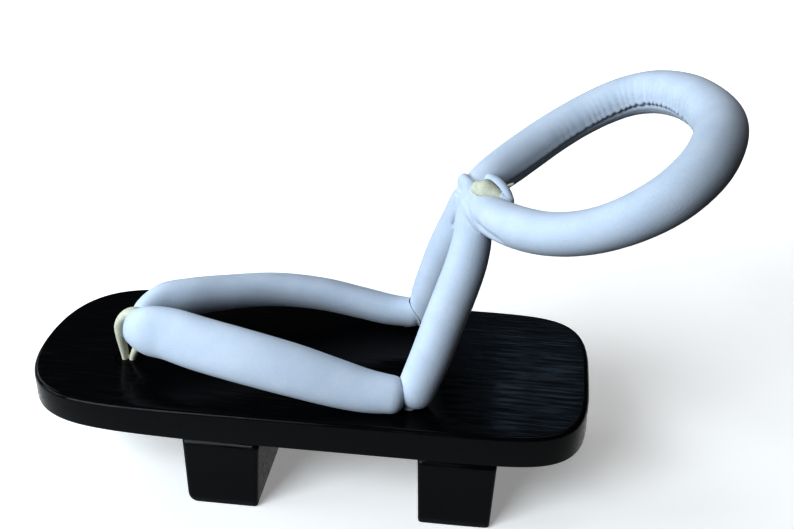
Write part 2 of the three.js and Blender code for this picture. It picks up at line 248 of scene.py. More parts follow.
def flat_face(rings, extra=()):
    """A Delaunay net of triangles between the first ring and the holes, and along extra lines."""
    lines = [np.asarray(r) for r in rings]
    points, edges, before = [], [], 0
    for number, line in enumerate(lines + [np.asarray(e) for e in extra]):
        index = np.arange(len(line)) + before
        pairs = np.column_stack([index, np.roll(index, -1)])
        edges.extend((pairs if number < len(lines) else pairs[:-1]).tolist())
        points.extend(line.tolist())
        before += len(line)
    net = delaunay_2d_cdt([Vector(p) for p in points], edges, [], INSIDE_WITH_HOLES, NET_TOLERANCE)
    return np.array([tuple(v) for v in net[0]]), net[2]


hole_lines = [stadium((TOE_HOLE[0],) * 2, TOE_HOLE[1], TOE_HOLE[2], HOLE_COUNT)]
hole_lines += [stadium(SLOT_ENDS, side * SLOT_Y, SLOT_RADIUS, HOLE_COUNT) for side in (1, -1)]
strips = [edge_strip(outline, outward, TOP_RADIUS, UNDER_RADIUS)]
strips += [edge_strip(line, normal, HOLE_RADIUS, HOLE_RADIUS) for line, normal in hole_lines]
bend_half = half_width(THINNING_START) - UNDER_RADIUS - HOLD - BEND_CLEAR
bend_y = np.linspace(-1, 1, BEND_COUNT) * bend_half
bend = np.column_stack([np.full(BEND_COUNT, THINNING_START), bend_y])
top_points, top_faces = flat_face([s[0, :, :2] for s in strips])
under_points, under_faces = flat_face([s[-1, :, :2] for s in strips], [bend])
board_parts = [(s, grid_quads(*s.shape[:2])) for s in strips]
points, faces = join_parts(board_parts)
top = np.column_stack([top_points, np.full(len(top_points), FOOTBED)])
under = np.column_stack([under_points, underside(under_points[:, 0])])
faces += [[i + len(points) for i in f] for f in top_faces]
faces += [[i + len(points) + len(top) for i in f] for f in under_faces]
board = new_piece("lacquered_board", np.vstack([points, top, under]), faces)
print("board: %.1f mm thick, %d holes" % (FOOTBED - TOOTH_HEIGHT, len(hole_lines)))

# %% [markdown]
# ## Teeth
# Each tooth is a block across the whole board, a little narrower at its foot, with softened edges and the
# front one worn round at its leading edge. A cube with a bevel would not follow the board's sides, so a
# tooth is a stack of rounded rectangles: one parameter runs round the rectangle, the other up the tooth.

# %% Two teeth
TEETH = {
    "front_tooth": {"front": 44.8, "back": 12.8, "slopes": (0.4, 1.6), "rounds": (5.0, 1.5)},
    "rear_tooth": {"front": -52.7, "back": -84.7, "slopes": (0.6, 1.8), "rounds": (1.5, 1.5)},
}
TOOTH_CORNER, TOOTH_SIDE_ROUND = 1.2, 0.9
TOOTH_COLUMNS = 240
FOOT_ZONE, FOOT_ROWS = 5.0, 22
UPPER_START, UPPER_ROWS = 8.0, 8


def rounded_rectangle(count, half_x, half_y, corner):
    """Even steps round a rectangle whose corners are quarter circles: along the sides of a smaller
    rectangle and round its corners, always one corner radius outwards from it."""
    sides = np.array([2 * (half_y - corner), 2 * (half_x - corner)])
    arc = corner * np.pi / 2
    lengths = np.tile([sides[0], arc, sides[1], arc], 2)
    start = np.concatenate([[0], np.cumsum(lengths)])
    run = np.linspace(0, start[-1], count, endpoint=False)
    leg = np.searchsorted(start, run, "right") - 1
    share = (run - start[leg]) / lengths[leg]
    turn = np.pi / 2 * (leg // 2 + np.where(leg % 2 == 1, share, 0))
    corner_x = (half_x - corner) * np.array([1, 1, -1, -1, -1, -1, 1, 1])
    corner_y = (half_y - corner) * np.array([1, 1, 1, 1, -1, -1, -1, -1])
    back_x, back_y = np.roll(corner_x, 1), np.roll(corner_y, 1)
    straight = leg % 2 == 0
    inner_x = np.where(straight, back_x[leg] + share * (corner_x - back_x)[leg], corner_x[leg])
    inner_y = np.where(straight, back_y[leg] + share * (corner_y - back_y)[leg], corner_y[leg])
    return inner_x + corner * np.cos(turn), inner_y + corner * np.sin(turn)


def tooth_points(front, back, slopes, rounds):
    """Rows from the foot up. Below a rounding of size r the face steps in by r (1 - sqrt(z / r))^2, and
    above it leans out in a straight line; the sides follow the board's outline and step in near the
    floor."""
    foot = FOOT_ZONE * np.linspace(0, 1, FOOT_ROWS)[1:] ** 2
    z = np.concatenate([[0, 0], foot, np.linspace(UPPER_START, TOOTH_HEIGHT, UPPER_ROWS)])
    face = [top - slope * (1 - np.clip((z - r) / (TOOTH_HEIGHT - r), 0, 1)) * sign
            - sign * r * (1 - np.sqrt(np.clip(z / r, 0, 1))) ** 2
            for top, slope, r, sign in ((front, slopes[0], rounds[0], 1), (back, slopes[1], rounds[1], -1))]
    low = 1 - np.clip(z / TOOTH_SIDE_ROUND, 0, 1)
    inset = TOOTH_SIDE_ROUND * (1 - np.sqrt(1 - low ** 2))
    middle, half = (face[0] + face[1]) / 2, (face[0] - face[1]) / 2
    width = half_width((front + back) / 2)
    x, y = rounded_rectangle(TOOTH_COLUMNS, (front - back) / 2, width, TOOTH_CORNER)
    px = middle[:, None] + x[None] * (half / ((front - back) / 2))[:, None]
    py = y[None] * (half_width(px) - inset[:, None]) / width
    px[0] = middle[0] + (px[0] - middle[0]) * (1 - HOLD / half[0])
    py[0] *= 1 - HOLD / width
    return np.dstack([px, py, np.broadcast_to(z[:, None], px.shape)])


teeth = {}
for node, sizes in TEETH.items():
    rows = tooth_points(**sizes)
    last = (len(rows) - 1) * TOOTH_COLUMNS
    caps = [list(range(TOOTH_COLUMNS))[::-1], list(range(last, last + TOOTH_COLUMNS))]
    faces = grid_quads(*rows.shape[:2]).tolist() + caps
    teeth[node] = new_piece("lacquered_" + node, rows.reshape(-1, 3), faces)
    print("%s: %.1f mm deep, %.1f mm high" % (node, sizes["front"] - sizes["back"], TOOTH_HEIGHT))

# %% [markdown]
# ## Black lacquer
# Lacquer is a clear, hard film over black, so it mirrors its surroundings almost like glass. Brushed over
# straight-grained wood it still shows faint lines along the board. Noise stretched along the board gives
# those lines as a shallow bump and as a change of roughness. A mottled grey band just above the floor is
# a painted reflection at the feet of the teeth.

# %% The lacquer
PORE_SCALE, BAND_SCALE = (45, 520, 520), (9, 60, 60)
GRAIN_STRENGTH, GRAIN_HEIGHT = 0.12, 0.0005
PORE_RANGE, GLOSS_RANGE = (0.40, 0.66), (0.07, 0.32)
# Painted reflection: a grey band at the feet of the teeth, mottled by noise and fading out 3.4 mm above the
# floor.
REFLECTION_HEIGHTS, REFLECTION_SHARES, REFLECTION_SCALE = (0.0005, 0.0034), (0.75, 0.0), 90.0
LACQUER_BLACK, PAINTED_REFLECTION_GREY = (0.0035, 0.0037, 0.0045, 1), (0.07, 0.075, 0.085, 1)
LACQUER_IOR = 1.24


def node_tree(name):
    """A new material, its shader, a function that adds and links a node in one call, and its links."""
    material = bpy.data.materials.new(name)
    material.use_nodes = True
    nodes, links = material.node_tree.nodes, material.node_tree.links
    shader = nodes["Principled BSDF"]

    def add(kind, inputs=(), **values):
        """A node with its settings; each input is linked if it is a socket and set if it is a value."""
        node = nodes.new(kind)
        for key, value in values.items():
            setattr(node, key, value)
        for socket, value in dict(inputs).items():
            if isinstance(value, bpy.types.NodeSocket):
                links.new(value, node.inputs[socket])
            else:
                node.inputs[socket].default_value = value
        return node

    return material, shader, add, links


def ranged(add, value, source, target):
    """The value carried in a straight line from the source range to the target, held at both ends."""
    ends = {"From Min": source[0], "From Max": source[1], "To Min": target[0], "To Max": target[1]}
    return add("ShaderNodeMapRange", {"Value": value, **ends}).outputs[0]


def blended(add, factor, first, second):
    """The first colour times one less the factor, plus the second times the factor."""
    return add("ShaderNodeMix", {"Factor": factor, 6: first, 7: second}, data_type="RGBA").outputs[2]


def lacquer():
    """Grain = fine noise plus broad noise, both stretched along the board. The fine noise also sets the
    roughness. The colour goes from black to grey, a painted reflection, by a noise that fades out above the
    floor."""
    material, shader, add, links = node_tree("black_lacquer")
    place = add("ShaderNodeTexCoord").outputs["Object"]
    fine = add("ShaderNodeMapping", {"Vector": place, "Scale": PORE_SCALE}).outputs[0]
    streaks = {"Vector": fine, "Scale": 1.0, "Detail": 3.0, "Roughness": 0.55}
    pores = add("ShaderNodeTexNoise", streaks).outputs[0]
    broad = add("ShaderNodeMapping", {"Vector": place, "Scale": BAND_SCALE}).outputs[0]
    bands = add("ShaderNodeTexNoise", {"Vector": broad, "Scale": 1.0, "Detail": 3.0}).outputs[0]
    both = add("ShaderNodeMath", {0: pores, 1: bands}, operation="ADD").outputs[0]
    bump = add("ShaderNodeBump", {"Height": both, "Strength": GRAIN_STRENGTH, "Distance": GRAIN_HEIGHT})
    links.new(bump.outputs[0], shader.inputs["Normal"])
    links.new(ranged(add, pores, PORE_RANGE, GLOSS_RANGE), shader.inputs["Roughness"])
    # Painted reflection: the base colour turns grey by a noise near the floor.
    height = add("ShaderNodeSeparateXYZ", {0: place}).outputs[2]
    reflection_noise = add("ShaderNodeTexNoise", {"Vector": place, "Scale": REFLECTION_SCALE, "Detail": 6.0}).outputs[0]
    low = ranged(add, height, REFLECTION_HEIGHTS, REFLECTION_SHARES)
    painted_reflection = add("ShaderNodeMath", {0: low, 1: reflection_noise}, operation="MULTIPLY").outputs[0]
    links.new(blended(add, painted_reflection, LACQUER_BLACK, PAINTED_REFLECTION_GREY), shader.inputs["Base Color"])
    shader.inputs["IOR"].default_value = LACQUER_IOR
    return material


black_lacquer = lacquer()
show(board, "board", black_lacquer)
for node, tooth in teeth.items():
    show(tooth, node, black_lacquer)

# %% [markdown]
# ## Stuffed straps
# The straps are tubes of white cotton filled with wadding, so they are oval and thick, never flat. Each
# is an oval carried along a smooth path. A curve object with a bevel could do the same, but its section
# could not change and lean along the way, so the tube is worked out here.

# %% A tube along a table of stations
DENSE_STEPS = 60
DOME_STEPS = 10


def smooth_rows(rows, spacing):
    """Rows of x, y, z and sizes on a centripetal Catmull-Rom curve, read off at equal steps of length.
    Between two rows each column is a cubic, with the root of the distance as its parameter and
    three-point slopes."""
    rows = np.asarray(rows, float)
    knots = np.concatenate([[0], np.cumsum(np.sqrt(np.linalg.norm(np.diff(rows[:, :3], axis=0), axis=1)))])
    step = np.diff(knots)[:, None]
    chord = np.diff(rows, axis=0) / step
    inner = chord[:-1] - (rows[2:] - rows[:-2]) / (step[:-1] + step[1:]) + chord[1:]
    slope = np.vstack([chord[:1], inner, chord[-1:]])
    t = np.linspace(0, knots[-1], DENSE_STEPS * len(rows))
    k = np.clip(np.searchsorted(knots, t, "right") - 1, 0, len(rows) - 2)
    h = step[k]
    f = (t - knots[k])[:, None] / h
    dense = (1 + 2 * f) * (1 - f) ** 2 * rows[k] + f * (1 - f) ** 2 * h * slope[k]
    dense += f ** 2 * (3 - 2 * f) * rows[k + 1] - f ** 2 * (1 - f) * h * slope[k + 1]
    run = np.concatenate([[0], np.cumsum(np.linalg.norm(np.diff(dense[:, :3], axis=0), axis=1))])
    even = np.linspace(0, run[-1], int(run[-1] / spacing) + 2)
    return even, np.column_stack([np.interp(even, run, column) for column in dense.T])


def unit(vectors):
    """Each vector divided by its length."""
    return vectors / np.linalg.norm(vectors, axis=-1, keepdims=True)


class Tube:
    """Stations of a tube: run of length, centres, axes and half sizes of the oval at each. The wide axis is
    the reference direction made square to the path and turned about it by the row's lean."""

    def __init__(self, rows, reference, spacing=0.8):
        self.run, table = smooth_rows(rows, spacing)
        self.centre, self.half = table[:, :3], table[:, 3:5] / 2
        turn = np.radians(table[:, 5:6])
        self.along = unit(np.gradient(self.centre, axis=0))
        reference = np.asarray(reference, float)
        flat = unit(reference - (self.along @ reference)[:, None] * self.along)
        self.wide = np.cos(turn) * flat + np.sin(turn) * np.cross(self.along, flat)
        self.thin = np.cross(self.along, self.wide)


def tube_skin(tube, domes, sides=72, bluntness=1.0):
    """Point = centre + a cos(v) wide + b sin(v) thin. At each end the oval shrinks by cos(w)^bluntness
    while its centre moves on by the dome's length times sin(w), to a pole; a lower power gives a blunter
    end."""
    count = len(tube.run)
    w = np.linspace(0, np.pi / 2, DOME_STEPS + 1)[1:]
    station = np.concatenate([np.zeros(DOME_STEPS, int), np.arange(count), np.full(DOME_STEPS, count - 1)])
    close = np.clip(np.cos(w), 0, 1) ** bluntness
    shrink = np.concatenate([close[::-1], np.ones(count), close])
    ahead = np.concatenate([-domes[0] * np.sin(w[::-1]), np.zeros(count), domes[1] * np.sin(w)])
    v = np.linspace(0, 2 * np.pi, sides, endpoint=False)
    a, b = tube.half[station, 0:1], tube.half[station, 1:2]
    shape = np.dstack([a * np.cos(v), b * np.sin(v)]) * shrink[:, None, None]
    centre = tube.centre[station] + ahead[:, None] * tube.along[station]
    wide, thin = tube.wide[station][:, None], tube.thin[station][:, None]
    points = centre[:, None] + shape[..., :1] * wide + shape[..., 1:] * thin
    return points, grid_quads(*points.shape[:2])


print("a straight test path of 30 mm measures %.1f mm" % smooth_rows([(0, 0, 0), (30, 0, 0)], 1.0)[0][-1])

# %% [markdown]
# ## From tubes to one sewn skin
# Where straps fold or meet, the tubes run into each other. A boolean would leave a hard line, so the
# tubes are remeshed together with small voxels into one closed skin and smoothed. The creases are then
# pressed in: each is a line of points with a width and a depth.

# %% One skin
STRAP_VOXEL, CORD_VOXEL = 0.65, 0.3
SMOOTH_PASSES, SMOOTH_SHARES = 10, (0.5, -0.52)


def mesh_arrays(mesh):
    """Vertex positions and normals of a mesh in the shoe's millimetres."""
    co = np.empty(3 * len(mesh.vertices), np.float32)
    normal = np.empty_like(co)
    mesh.vertices.foreach_get("co", co)
    mesh.vertices.foreach_get("normal", normal)
    return co.reshape(-1, 3) * 1000.0 - BOARD_CENTRE, normal.reshape(-1, 3).astype(float)


def set_points(mesh, points):
    """Writes positions given in the shoe's millimetres back to a mesh."""
    mesh.vertices.foreach_set("co", to_frame(points).astype(np.float32).ravel())
    mesh.update()


def smoothed(mesh, points, passes):
    """Each pass moves a point half way to the mean of its neighbours and then slightly more than half way
    back, which evens out the voxel steps without shrinking the shape."""
    edges = np.empty(2 * len(mesh.edges), np.int32)
    mesh.edges.foreach_get("vertices", edges)
    a, b = edges.reshape(-1, 2).T
    count = np.bincount(np.concatenate([a, b]), minlength=len(points))[:, None]
    size = len(points)
    for share in SMOOTH_SHARES * passes:
        sums = [np.bincount(a, points[b, i], size) + np.bincount(b, points[a, i], size) for i in range(3)]
        total = np.column_stack(sums)
        points = points + share * (total / count - points)
    return points


def sewn_skin(name, parts, voxel):
    """The parts' surfaces as one closed voxel skin, evened out."""
    points, faces = join_parts(parts)
    source = new_piece(name, points, faces)
    remesh = source.modifiers.new("skin", "REMESH")
    remesh.mode = "VOXEL"
    remesh.voxel_size = voxel / 1000
    mesh = bpy.data.meshes.new_from_object(source.evaluated_get(bpy.context.evaluated_depsgraph_get()))
    mesh.name = name
    source.modifiers.clear()
    old = source.data
    source.data = mesh
    bpy.data.meshes.remove(old)
    place, _ = mesh_arrays(mesh)
    set_points(mesh, smoothed(mesh, place, SMOOTH_PASSES))
    mesh.shade_smooth()
    return source


def nearest_station(points, tubes):
    """For each point the nearest station of any tube, and the point in that tube's straightened
    coordinates: the run of length, and the distances along the oval's wide and thin axes."""
    centre = np.vstack([t.centre for t in tubes])
    axes = [np.vstack([getattr(t, key) for t in tubes]) for key in ("along", "wide", "thin")]
    run = np.concatenate([t.run for t in tubes])
    square = (points ** 2).sum(1)[:, None] - 2 * points @ centre.T + (centre ** 2).sum(1)
    near = square.argmin(1)
    offset = points - centre[near]
    straight = np.column_stack([(offset * axis[near]).sum(1) for axis in axes])
    straight[:, 0] += run[near]
    return near, straight


def keep_run(piece, tubes):
    """Stores the straightened coordinates, in millimetres, for the cloth's ribs and nap."""
    points, _ = mesh_arrays(piece.data)
    _, straight = nearest_station(points, tubes)
    attribute = piece.data.attributes.new("strap_run", "FLOAT_VECTOR", "POINT")
    attribute.data.foreach_set("vector", straight.astype(np.float32).ravel())


print("voxels: %.2f mm for straps, %.2f mm for cords" % (STRAP_VOXEL, CORD_VOXEL))

# %% Pressing creases in
LINE_POINTS = 60
LINE_WIDTHS, LINE_MARGIN = 4, 3
LEAST_REACH = 0.5
FADE_SHARES = (0, 0.35, 0.65, 1)


def pressed_clear(piece, tubes, gap):
    """Points inside a neighbouring tube move straight out from its axis to its surface plus the gap."""
    points, _ = mesh_arrays(piece.data)
    for tube in tubes:
        near, straight = nearest_station(points, [tube])
        reach = np.hypot(straight[:, 1], straight[:, 2])
        wanted = tube.half[near, 0] + gap
        inside = (reach < wanted) & (near > 0) & (near < len(tube.run) - 1)
        grow = np.where(inside, wanted / np.maximum(reach, LEAST_REACH), 1.0) - 1
        outwards = straight[:, 1:2] * tube.wide[near] + straight[:, 2:] * tube.thin[near]
        points = points + grow[:, None] * outwards
    set_points(piece.data, points)


def press_lines(piece, lines):
    """Each line is a row of points with a width and a depth. A vertex at distance d from it moves inwards
    along its normal by depth exp(-(d / width)^2), so a trough is soft, and a negative depth is a ridge.
    The line fades towards both ends where its taper says so."""
    points, normal = mesh_arrays(piece.data)
    move = np.zeros(len(points))
    for line, width, depth, taper in lines:
        bent = np.asarray(line, float) + (0, 0, FOOTBED)
        leg = np.concatenate([[0], np.cumsum(np.linalg.norm(np.diff(bent, axis=0), axis=1))])
        even = np.linspace(0, leg[-1], LINE_POINTS)
        path = np.column_stack([np.interp(even, leg, column) for column in bent.T])
        around = leg[-1] / 2 + LINE_WIDTHS * width + LINE_MARGIN
        close = np.flatnonzero(np.abs(points - path.mean(0)).max(1) < around)
        square = ((points[close, None] - path[None]) ** 2).sum(2)
        near = square.argmin(1)
        fade = np.interp(even / leg[-1], FADE_SHARES, (taper[0], 1, 1, taper[1]))
        move[close] += depth * fade[near] * np.exp(-square.min(1) / width ** 2)
    set_points(piece.data, points - move[:, None] * normal)


print("each crease line is read at", LINE_POINTS, "points")

# %% Tails and knots
TAIL_RADIUS, KNOT_RADIUS, KNOT_DROP, KNOT_GAP = 3.0, 4.2, 10.0, 0.3
TAIL_STEPS, KNOT_STEPS, TAIL_SIDES = 12, 25, 32
WRAP_DEPTH, WRAP_TURN = 0.35, 0.9


def knotted_tail(x, y, radius, knot_radius, top):
    """A surface of revolution: a straight tail down to the underside, then a ball r = knot sin(a), whose
    surface is wound by two helical wraps of the cord."""
    under = underside(x)
    a = np.linspace(0, np.pi, KNOT_STEPS)
    knot_z = under - KNOT_GAP - (KNOT_DROP - KNOT_GAP) / 2 * (1 - np.cos(a))
    knot_r = np.maximum(knot_radius * np.sin(a), np.where(a < np.pi / 2, radius, 0))
    z = np.concatenate([[top, top], np.linspace(top, under - KNOT_GAP, TAIL_STEPS)[1:-1], knot_z])
    r = np.concatenate([[0, radius], np.full(TAIL_STEPS - 2, radius), knot_r])
    wrap = np.concatenate([np.zeros(TAIL_STEPS), np.sin(a) ** 2])
    turn = np.linspace(0, 2 * np.pi, TAIL_SIDES, endpoint=False)
    groove = (1 + np.cos(2 * turn - WRAP_TURN * (z[:, None] - under))) / 2
    ring = r[:, None] - WRAP_DEPTH * wrap[:, None] * groove
    height = np.broadcast_to(z[:, None], ring.shape)
    points = np.dstack([x + ring * np.cos(turn), y + ring * np.sin(turn), height])
    return points, grid_quads(*points.shape[:2])


print("knots reach %.1f mm below the board" % KNOT_DROP)

# %% [markdown]
# ## Ankle strap
# Two stuffed straps rise from the board's sides and meet above the heel, where they carry a stuffed ring
# for the ankle. The near strap runs on into the lower arm of the ring and the far one into the upper arm.
# A small bump and a rolled collar of cloth cover the join.

# %% Rising straps and ring
RISER_ROWS = np.array([  # rise, half, near x, far x, size
    (7.8, 32.2, -49.8, -46.8, 16.0),
    (21.0, 26.0, -55.0, -49.4, 16.8),
    (36.0, 20.2, -60.0, -53.4, 17.0),
    (48.0, 15.5, -64.2, -56.8, 17.0),
    (58.0, 11.2, -67.2, -60.0, 16.6),
    (67.0, 7.3, -68.6, -62.8, 15.6),
    (76.0, 3.2, -68.0, -65.0, 14.0),
    (80.5, 1.2, -67.0, -66.0, 12.6),
])
RING_ROWS = np.array([  # x, half, near rise, far rise, near size, far size
    (-68.0, 2.4, 79.4, 82.4, 13.0, 13.0),
    (-74.0, 10.0, 78.8, 85.2, 15.0, 15.4),
    (-81.0, 19.6, 80.0, 87.6, 16.2, 16.6),
    (-89.0, 29.6, 82.4, 90.6, 16.4, 16.8),
    (-98.0, 38.6, 85.6, 94.6, 16.2, 16.6),
    (-108.0, 45.6, 89.9, 99.2, 16.2, 16.4),
    (-118.0, 49.8, 94.9, 103.8, 16.6, 16.6),
    (-129.0, 51.0, 101.2, 108.4, 17.6, 17.0),
    (-139.5, 47.0, 107.0, 112.0, 18.6, 17.8),
    (-149.5, 36.0, 112.4, 114.6, 19.4, 18.6),
    (-156.3, 19.0, 115.4, 116.0, 19.8, 19.4),
])
RING_TIP = (-159.3, 0.0, 116.5, 19.8)
RISER_DOMES, RING_DOME = (7.4, 5.0), 5.0
JOIN_BUMP = np.array([  # x, y, rise, size
    (-66.5, 0.5, 85.6, 6.6),
    (-64.6, -2.2, 86.2, 7.0),
])
JOIN_COLLAR = np.array([  # x, y, rise, size
    (-74.4, 1.6, 89.8, 4.6),
    (-77.8, 4.2, 88.8, 4.8),
    (-80.6, 6.8, 86.8, 4.6),
    (-82.6, 10.0, 84.4, 4.0),
])
PAD_SPACING, PAD_SIDES = 0.3, 40


def round_rows(rows):
    """Rows of x, y, rise and size as a tube's rows: x, y, z, two equal sizes and no lean."""
    x, y, rise, size = rows.T
    return np.column_stack([x, y, FOOTBED + rise, size, size, 0 * size])


def pad(rows):
    """A small round pad of cloth: a circle carried along a short path, with a half ball at each end."""
    tube = Tube(round_rows(rows), (0, 0, 1), PAD_SPACING)
    return tube_skin(tube, (rows[0, 3] / 2, rows[-1, 3] / 2), sides=PAD_SIDES)


def riser_tube(side):
    """One rising strap: its half distance from the middle line, times plus or minus one, is its y."""
    rise, half, near_x, far_x, size = RISER_ROWS.T
    x = near_x if side > 0 else far_x
    return Tube(np.column_stack([x, side * half, FOOTBED + rise, size, size, 0 * size]), (1, 0, 0))


def ring_tube():
    """One path from the near arm's root (y = half) round the tip to the far arm's root (y = -half)."""
    x, half, near_rise, far_rise, near_size, far_size = RING_ROWS.T
    near = np.column_stack([x, half, FOOTBED + near_rise, near_size, near_size, 0 * x])
    far = np.column_stack([x, -half, FOOTBED + far_rise, far_size, far_size, 0 * x])
    tip = (RING_TIP[0], RING_TIP[1], FOOTBED + RING_TIP[2], RING_TIP[3], RING_TIP[3], 0)
    return Tube(np.vstack([near, tip, far[::-1]]), (0, 0, 1))


risers = {side: riser_tube(side) for side in (1, -1)}
ring = ring_tube()
ankle_parts = [tube_skin(riser, RISER_DOMES) for riser in risers.values()]
ankle_parts += [tube_skin(ring, (RING_DOME, RING_DOME)), pad(JOIN_BUMP), pad(JOIN_COLLAR)]
riser_foot = FOOTBED + RISER_ROWS[0, 0]
ankle_parts += [knotted_tail(SLOT_ENDS[1], side * SLOT_Y, TAIL_RADIUS, KNOT_RADIUS, riser_foot)
                for side in (1, -1)]
ankle = sewn_skin("padded_ankle_strap", ankle_parts, STRAP_VOXEL)
riser_lengths = [riser.run[-1] for riser in risers.values()]
print("rising straps: %.0f and %.0f mm, ring: %.0f mm" % (*riser_lengths, ring.run[-1]))

# %% [markdown]
# ## Seam, gathers and creases
# The ring's cover is sewn along its inner side. Bent into a ring, the cloth has too much length there, so
# it gathers into short puckers across the seam, most of all where the upper arm turns into the tip. The
# straps are also creased where they fold at the join. The gathers are a function of the run along the
# ring and the distance from the seam round it, and the creases are listed as lines.

# %% Seam and gathers of the ring
SEAM_SHARES = (0.0, 0.5, 0.6, 0.72, 0.85, 1.0)
SEAM_ANGLES = (250.0, 234.0, 234.0, 244.0, 254.0, 262.0)
GATHER_SPACING, GATHER_ROUNDNESS = 3.5, 0.7
GATHER_WANDER = ((0.3, 6.1, 0), (0.2, 2.7, 1))  # size, run to a radian, start
GATHER_SHARES = (0, 0.12, 0.3, 0.43, 0.5, 0.66, 0.74, 0.86, 1)
GATHER_DEPTHS = (0, 0.15, 0.3, 0.6, 1, 1, 0.6, 0.15, 0)
SEAM_FADE_SHARES, SEAM_FADES = (0.03, 0.1, 0.9, 0.98), (0, 1, 1, 0)
SCALLOP, SEAM_EDGE = 1.2, -0.2
DEPTH_ABOVE, REACH_ABOVE = 1.25, 5.5
DEPTH_BELOW, REACH_BELOW = 0.5, 2.5
SEAM_TROUGH = (0.85, 0.0, 0.95)  # depth, distance round from the seam, width
SEAM_HOLLOW = (0.35, -2.2, 2.0)
SEAM_LIP = (0.4, 1.9, 1.2)


def soft_ridge(distance, height, middle, width):
    """Height times exp(-((distance - middle) / width)^2)."""
    return height * np.exp(-((distance - middle) / width) ** 2)


def ring_gathers(run, around, length):
    """Rounded ridges and narrow valleys, |cos|^0.7 of the run over the spacing, wandering a little. They
    are deepest beside the seam and fade upwards over several millimetres. The seam is a trough with a lip
    above it."""
    share = run / length
    wander = sum(size * np.sin(run / pace + start) for size, pace, start in GATHER_WANDER)
    phase = np.pi * (run / GATHER_SPACING + wander)
    deep = np.interp(share, GATHER_SHARES, GATHER_DEPTHS)
    seam = np.interp(share, SEAM_FADE_SHARES, SEAM_FADES)
    valley = 1 - np.abs(np.cos(phase)) ** GATHER_ROUNDNESS
    scallop = around - SCALLOP * deep * valley
    above = np.exp(-np.clip(scallop, 0, None) / REACH_ABOVE) * (scallop > SEAM_EDGE)
    below = np.exp(np.clip(scallop, None, 0) / REACH_BELOW) * (scallop <= SEAM_EDGE)
    trough = soft_ridge(scallop, *SEAM_TROUGH) + soft_ridge(scallop, *SEAM_HOLLOW)
    lip = soft_ridge(scallop, *SEAM_LIP)
    return -deep * valley * (DEPTH_ABOVE * above + DEPTH_BELOW * below) - seam * (trough - lip)


points, normal = mesh_arrays(ankle.data)
tubes = [*risers.values(), ring]
near, straight = nearest_station(points, tubes)
first_ring = sum(len(t.run) for t in risers.values())
on_ring = near >= first_ring
radius = ring.half[np.clip(near - first_ring, 0, None), 0]
angle = np.degrees(np.arctan2(straight[:, 2], straight[:, 1])) % 360
seam_angle = np.interp(straight[:, 0] / ring.run[-1], SEAM_SHARES, SEAM_ANGLES)
around = ((angle - seam_angle + 180) % 360 - 180) * np.pi / 180 * radius
relief = np.where(on_ring, ring_gathers(straight[:, 0], around, ring.run[-1]), 0)
set_points(ankle.data, points + relief[:, None] * normal)
print("gathers: from %.2f to %.2f mm" % (relief.min(), relief.max()))

# %% Creases at the join
JOIN_CREASES = [  # points (x, y, rise), width, depth, strength at both ends
    (((-79.5, 29.5, 76.4), (-74.1, 22.9, 76.8), (-71.1, 19.0, 77.6), (-68.3, 14.9, 79.4)),
     1.8, 1.1, (1, 0.1)),
    (((-60.4, 1.0, 68.0), (-61.2, 3.8, 74.0), (-61.8, 5.0, 79.3), (-62.4, 4.0, 82.0), (-62.8, 1.8, 83.6)),
     1.1, 1.2, (1, 0.6)),
    (((-64.2, 5.7, 83.9), (-65.6, 10.3, 81.8), (-67.3, 13.3, 79.4), (-69.0, 14.8, 76.8)),
     1.4, 0.6, (0.8, 0.3)),
    (((-66.6, 3.4, 86.6), (-68.0, 9.6, 84.6), (-69.2, 14.0, 81.6)), 1.3, 0.4, (0.6, 0)),
    (((-61.0, -4.6, 83.6), (-60.6, -1.4, 82.6), (-62.4, 2.0, 83.4)), 1.2, 1.0, (0.6, 0.8)),
    (((-65.0, -6.4, 88.0), (-65.6, -3.0, 90.0), (-67.4, 0.0, 89.6)), 1.2, 0.6, (0.8, 0.6)),
]
press_lines(ankle, JOIN_CREASES)
keep_run(ankle, tubes)
print("creases at the join:", len(JOIN_CREASES))

# %% [markdown]
# ## Thong
# The thong is one stuffed strap folded at the toe. Its section stands upright at the fold and leans over
# the instep further back, and both ends go down through the board beside the rising straps, which press
# into them.

# %% Two arms and the fold
THONG_ROWS = np.array([  # x, spread, rise, width, thick, lean
    (74.2, 0.0, 15.4, 11.6, 8.2, 22),
    (70.2, 7.2, 19.4, 16.8, 11.6, 17),
    (64.4, 11.8, 21.0, 21.0, 13.0, 17),
    (55.0, 15.4, 21.6, 22.0, 13.6, 26),
    (40.0, 21.8, 20.6, 22.4, 14.0, 38),
    (20.0, 28.2, 18.8, 22.4, 14.0, 42),
    (0.0, 31.6, 15.4, 21.8, 14.0, 45),
    (-18.0, 32.8, 11.0, 20.0, 14.0, 48),
    (-30.0, 33.0, 8.4, 18.0, 13.8, 50),
    (-40.0, 33.0, 7.6, 16.0, 13.0, 50),
])
HEEL_MIDDLE_Y, THONG_DOME = 3.0, 6.0
THONG_SIDES, THONG_BLUNTNESS = 96, 0.6
STRAP_GAP = 0.4


def thong_tube():
    """One path from the near end through the fold to the far end. The middle line bends towards the toe
    hole by the square of the share of the way from the slots."""
    x, spread, rise, width, thick, lean = THONG_ROWS.T
    share = (x - SLOT_ENDS[0]) / (THONG_ROWS[0, 0] - SLOT_ENDS[0])
    middle = HEEL_MIDDLE_Y + (TOE_HOLE[1] - HEEL_MIDDLE_Y) * share ** 2
    arms = [np.column_stack([x, middle + side * spread, FOOTBED + rise, width, thick, lean])
            for side in (1, -1)]
    return Tube(np.vstack([arms[0][::-1], arms[1][1:]]), (0, 0, 1))


